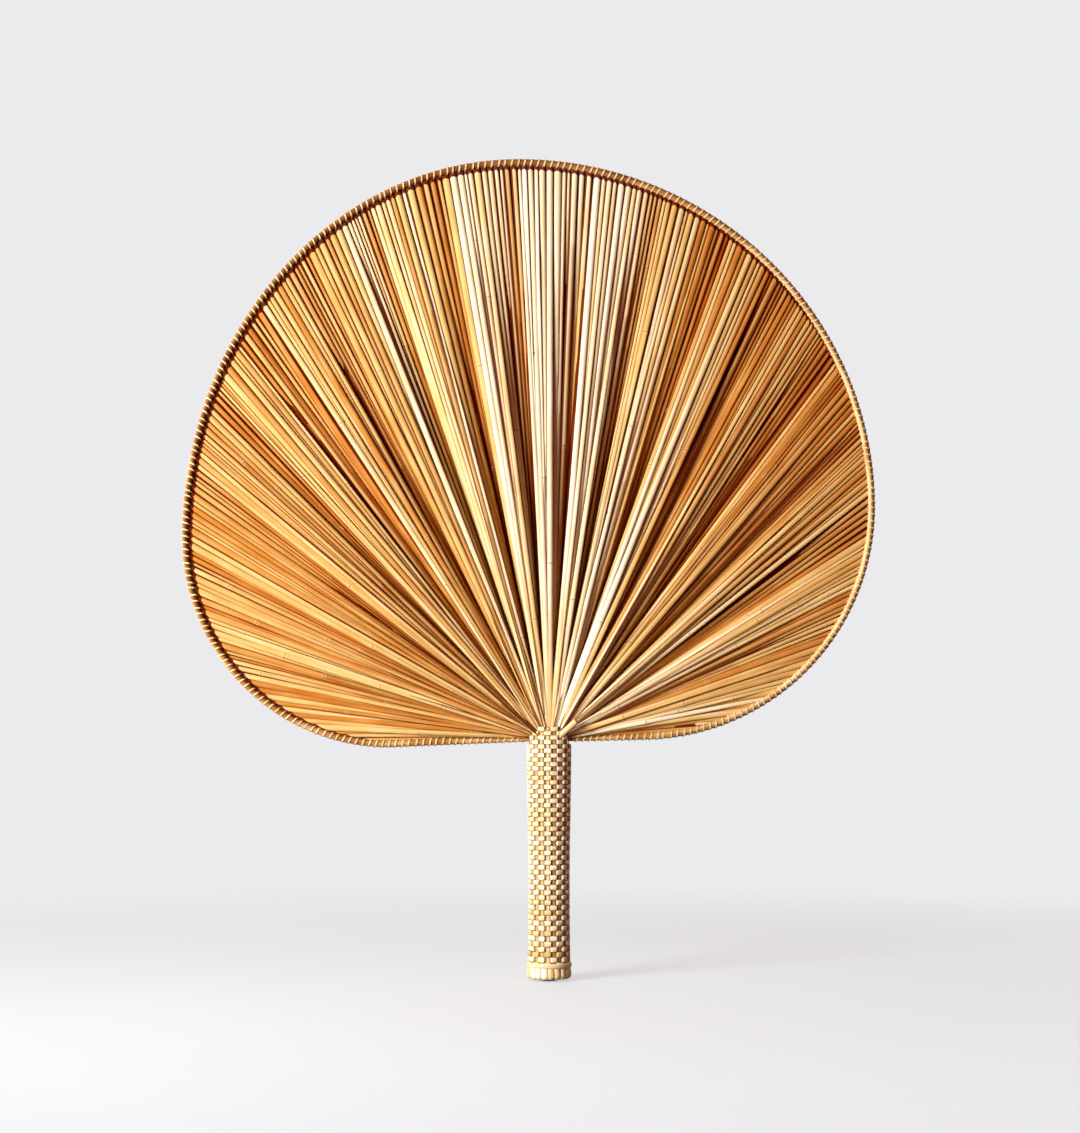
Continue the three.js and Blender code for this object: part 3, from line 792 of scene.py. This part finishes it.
def makeStrips(s):
    chance = random.Random(s["seed"] + 1)
    bm, grain, tone = newStrands()
    rings = s["stripRings"]
    spans = weaveRows(s, chance)
    rods = rodCopies(bm, s["sides"], rings, len(spans))
    for verts, (row, middle, pitch, start, end) in zip(rods, spans):
        pale = chance.gauss(s["stripPale"], s["stripStray"])
        half = pitch * chance.uniform(*s["stripHalf"])
        strand = chance.uniform(0, s["strands"])
        for vert in verts:
            share = ringOf(vert, rings) / (rings - 1)
            x, y = flatSection(vert)
            angle = blend(start, end, share)
            swing = math.cos(s["stakes"] / 2 * (angle - math.radians(s["firstStake"])) + math.pi * row)
            lift = clamp(s["steep"] * swing + s["proud"], -1, 1)
            wave = s["wave"] * noise.noise(Vector((angle * s["waveScale"], row * s["waveRow"], 0)))
            height = middle + wave - x * half
            tuck = s["weave"] * (ease(1 - s["endShare"], 1, share) + 1 - ease(0, s["endShare"], share))
            proud = s["weave"] * lift - s["stakeSink"] + y * s["stripThick"] - tuck
            vert[grain] = Vector((x * half, angle * s["radius"], strand))
            # painted shade: a strip darkens at its edges and where it dips under a stake
            vert[tone] = Vector((pale, 0, max(abs(vert.co.x), s["dipShade"] - s["liftShade"] * lift)))
            vert.co = sleevePoint(angle, height, proud, s)
    placePiece(bm, "woven_sleeve_strips", stripPaint, ["woven_sleeve"])


makeStakes(sleeve)
makeStrips(sleeve)
print("sleeve woven on", sleeve["stakes"], "stakes")


# Foot of the handle: the stakes' ends folded under, and a smooth ring above them
cuff = {
    "panels": 20, "sides": 8, "half": 1.52, "thick": 0.28, "seed": 5, "spread": 10.3,
    "pale": 0.76, "stray": 0.1, "lean": 0.04, "upright": 2, "ringLength": 2.0, "strand": 31,
    "line": [(10.3, 6.9), (10.6, 5.3), (10.85, 3.4), (10.75, 2.4), (10.2, 1.5), (8.2, 1.2), (5.2, 1.2)],
}


def makeCuff(c):
    chance = random.Random(c["seed"])
    bm, grain, tone = newStrands()
    line = [Vector(point) for point in c["line"]]
    last = len(line) - 1
    for index, verts in enumerate(rodCopies(bm, c["sides"], len(line), c["panels"])):
        angle = math.radians(sleeve["firstStake"] + 360 * (index + 0.5) / c["panels"])
        pale = chance.gauss(c["pale"], c["stray"])
        lean = chance.uniform(-c["lean"], c["lean"])
        for vert in verts:
            ring = ringOf(vert, len(line))
            x, y = flatSection(vert)
            run = (line[min(ring + 1, last)] - line[max(ring - 1, 0)]).normalized()
            spot = line[ring] + Vector((-run.y, run.x)) * y * c["thick"]
            turn = angle + lean * (ring - c["upright"]) / last + x * c["half"] / c["spread"]
            vert[grain] = Vector((x * c["half"], ring * c["ringLength"], index * c["strand"]))
            vert[tone] = Vector((pale, 0, 0))
            vert.co = Vector((spot.x * math.sin(turn), -spot.x * math.cos(turn), spot.y))
    placePiece(bm, "end_cuff_folds", stripPaint, ["end_cuff"])


endRing = {
    "radius": 10.8, "height": 7.9, "half": 1.2, "thick": 0.42, "tilt": 1.0, "sides": 10, "steps": 72,
    "pale": 0.72, "strand": 3,
}


def makeRing(r):
    bm, grain, tone = newStrands()
    made = bmesh.ops.create_circle(bm, segments=r["sides"], radius=1)
    bmesh.ops.scale(bm, verts=made["verts"], vec=(r["thick"], r["half"], 1))
    upright = Matrix.Rotation(math.pi / 2, 3, "X")
    bmesh.ops.rotate(bm, verts=made["verts"], cent=(0, 0, 0), matrix=upright)
    bmesh.ops.translate(bm, verts=made["verts"], vec=(r["radius"], 0, 0))
    bmesh.ops.spin(
        bm, geom=bm.verts[:] + bm.edges[:], cent=(0, 0, 0), axis=(0, 0, 1), dvec=(0, 0, 0),
        angle=2 * math.pi, steps=r["steps"], use_merge=True,
    )
    for vert in bm.verts:
        along = math.atan2(vert.co.x, -vert.co.y) * r["radius"]
        vert[grain] = Vector((vert.co.z, along, r["strand"]))
        vert[tone] = Vector((r["pale"], 0, 0))
    tilted = Matrix.Rotation(math.radians(r["tilt"]), 3, "Y")
    bmesh.ops.rotate(bm, verts=bm.verts, cent=(0, 0, 0), matrix=tilted)
    bmesh.ops.translate(bm, verts=bm.verts, vec=(0, 0, r["height"]))
    placePiece(bm, "end_ring_band", stripPaint, ["end_ring"])


makeCuff(cuff)
makeRing(endRing)
print("foot of the handle folded and ringed")


# Plain pieces of the frame that stay: the stick, the gathered stems and the tie
plainLooks = {
    "core_stick": {
        "name": "stick_wood_end", "dark": "3a1f10", "pale": "7a4a28",
        "stretch": (700, 700, 40), "rough": 0.6,
    },
    "stem_bundle": {
        "name": "golden_straw_stems", "dark": "8a5420", "pale": "d9a552",
        "stretch": (900, 900, 12), "rough": 0.5,
    },
    "neck_tie": {
        "name": "twine_twist", "dark": "8a6c42", "pale": "cbb184",
        "stretch": (1500, 1500, 900), "rough": 0.7,
    },
}
plainWear = {"scale": 90.0, "show": 0.4, "rough": 0.2, "bump": 0.5, "bumpHeight": 0.0003}


def plainMaterial(look, wear):
    material, paint, shader = newMaterial(look["name"])
    place = paint.node("ShaderNodeTexCoord", {}, {}, "Object")
    lines = paint.cloud(paint.stretch(place, look["stretch"]), 1.0, 4.0, 0.6)
    worn = paint.cloud(place, wear["scale"], 2.0)
    colour = paint.mixColour(lines, tint(look["dark"]), tint(look["pale"]))
    colour = paint.mixColour(worn * wear["show"], colour, tint(look["dark"]))
    paint.feed(shader.inputs["Base Color"], colour)
    paint.feed(shader.inputs["Roughness"], look["rough"] + (worn - 0.5) * wear["rough"])
    inputs = {"Height": lines, "Strength": wear["bump"], "Distance": wear["bumpHeight"]}
    paint.feed(shader.inputs["Normal"], paint.node("ShaderNodeBump", {}, inputs))
    return material


for node, look in plainLooks.items():
    material = plainMaterial(look, plainWear)
    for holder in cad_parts[node].material_slots:
        holder.material = material
print("stick, stems and tie finished")


# Floor, light and camera
floorLook = {
    "radius": 1.1, "sides": 128, "seen": "8e9398", "bounce": "70727a", "roughness": 0.8,
    "grit": 0.1, "gritScale": 60.0, "solid": 0.2, "gone": 0.6, "glow": 0.53,
}


def makeFloor(f):
    bm = bmesh.new()
    bmesh.ops.create_circle(bm, cap_ends=True, segments=f["sides"], radius=f["radius"])
    mesh = bpy.data.meshes.new("floor")
    bm.to_mesh(mesh)
    bm.free()
    floor = bpy.data.objects.new("floor", mesh)
    bpy.context.scene.collection.objects.link(floor)
    material, paint, shader = newMaterial("pale_floor")
    place = paint.node("ShaderNodeTexCoord", {}, {}, "Object")
    away = paint.node("ShaderNodeVectorMath", {"operation": "LENGTH"}, {0: place}, "Value")
    grit = paint.cloud(place, f["gritScale"], 3.0)
    camera = paint.node("ShaderNodeLightPath", {}, {}, "Is Camera Ray")  # it sees a paler floor
    colour = paint.mixColour(camera * (1 - grit * f["grit"]), tint(f["bounce"]), tint(f["seen"]))
    paint.feed(shader.inputs["Base Color"], colour)
    shader.inputs["Roughness"].default_value = f["roughness"]
    glow = paint.mixColour(camera, tint("000000"), tint("ffffff"))
    paint.feed(shader.inputs["Emission Color"], glow)
    shader.inputs["Emission Strength"].default_value = f["glow"]
    solid = Wire(paint, shader.outputs[0])
    clear = paint.node("ShaderNodeBsdfTransparent", {}, {})
    fade = paint.reach(away, f["solid"], f["gone"])  # out into the backdrop
    mixed = paint.node("ShaderNodeMixShader", {}, {0: fade, 1: solid, 2: clear})
    paint.feed(paint.tree.nodes["Material Output"].inputs["Surface"], mixed)
    mesh.materials.append(material)


worldLook = {
    "backdrop": ("ebebed", 1.0), "front": ("ff7a3c", 0.2), "back": ("fff4e6", 0.9),
    "backFrom": 0.2, "backTo": 0.8,
}


def background(paint, colour, strength):
    return paint.node("ShaderNodeBackground", {}, {"Color": tint(colour), "Strength": strength})


# The backdrop is for what is seen; a dim orange fill lights the front and a pale one the back
def makeWorld(w):
    world = bpy.data.worlds.new("studio")
    bpy.context.scene.world = world
    world.use_nodes = True
    paint = Paint(world.node_tree)
    kinds = ("Camera", "Glossy", "Transmission")
    rays = [paint.node("ShaderNodeLightPath", {}, {}, f"Is {kind} Ray") for kind in kinds]
    seen = paint.node("ShaderNodeClamp", {}, {0: rays[0] + rays[1] + rays[2]})
    towards = paint.node("ShaderNodeTexCoord", {}, {}, "Generated")
    depth = paint.node("ShaderNodeSeparateXYZ", {}, {0: towards}, "Y")
    behind = paint.reach(depth, w["backFrom"], w["backTo"])
    front, back, shown = [background(paint, *w[key]) for key in ("front", "back", "backdrop")]
    soft = paint.node("ShaderNodeMixShader", {}, {0: behind, 1: front, 2: back})
    mixed = paint.node("ShaderNodeMixShader", {}, {0: seen, 1: soft, 2: shown})
    paint.feed(paint.tree.nodes["World Output"].inputs["Surface"], mixed)


lampLook = {"place": (-0.65, -0.65, 0.36), "aim": (0, 0, 0.24), "power": 15.5, "size": 0.42}


def makeLamp(name, look):
    lamp = bpy.data.lights.new(name, "AREA")
    lamp.shape = "RECTANGLE"
    lamp.size = look["size"]
    lamp.size_y = look["size"]
    lamp.energy = look["power"]
    holder = bpy.data.objects.new(name, lamp)
    holder.location = look["place"]
    aim = Vector(look["aim"]) - Vector(look["place"])
    holder.rotation_euler = aim.to_track_quat("-Z", "Y").to_euler()
    bpy.context.scene.collection.objects.link(holder)


cameraLook = {
    "place": (-0.0045, -1.2, 0.138), "pitch": 3.2, "lens": 76.4, "sensor": 36.0, "nearest": 0.01,
}


def makeCamera(name, look):
    lensData = bpy.data.cameras.new(name)
    lensData.sensor_fit = "VERTICAL"
    lensData.sensor_height = look["sensor"]
    lensData.lens = look["lens"]
    lensData.clip_start = look["nearest"]
    camera = bpy.data.objects.new(name, lensData)
    camera.location = look["place"]
    camera.rotation_euler = (math.radians(90 + look["pitch"]), 0, 0)
    bpy.context.scene.collection.objects.link(camera)
    bpy.context.scene.camera = camera


makeFloor(floorLook)
makeWorld(worldLook)
makeLamp("window", lampLook)
makeCamera("photo_view", cameraLook)
bpy.context.scene.view_settings.view_transform = "Standard"
print("floor, light and camera set")
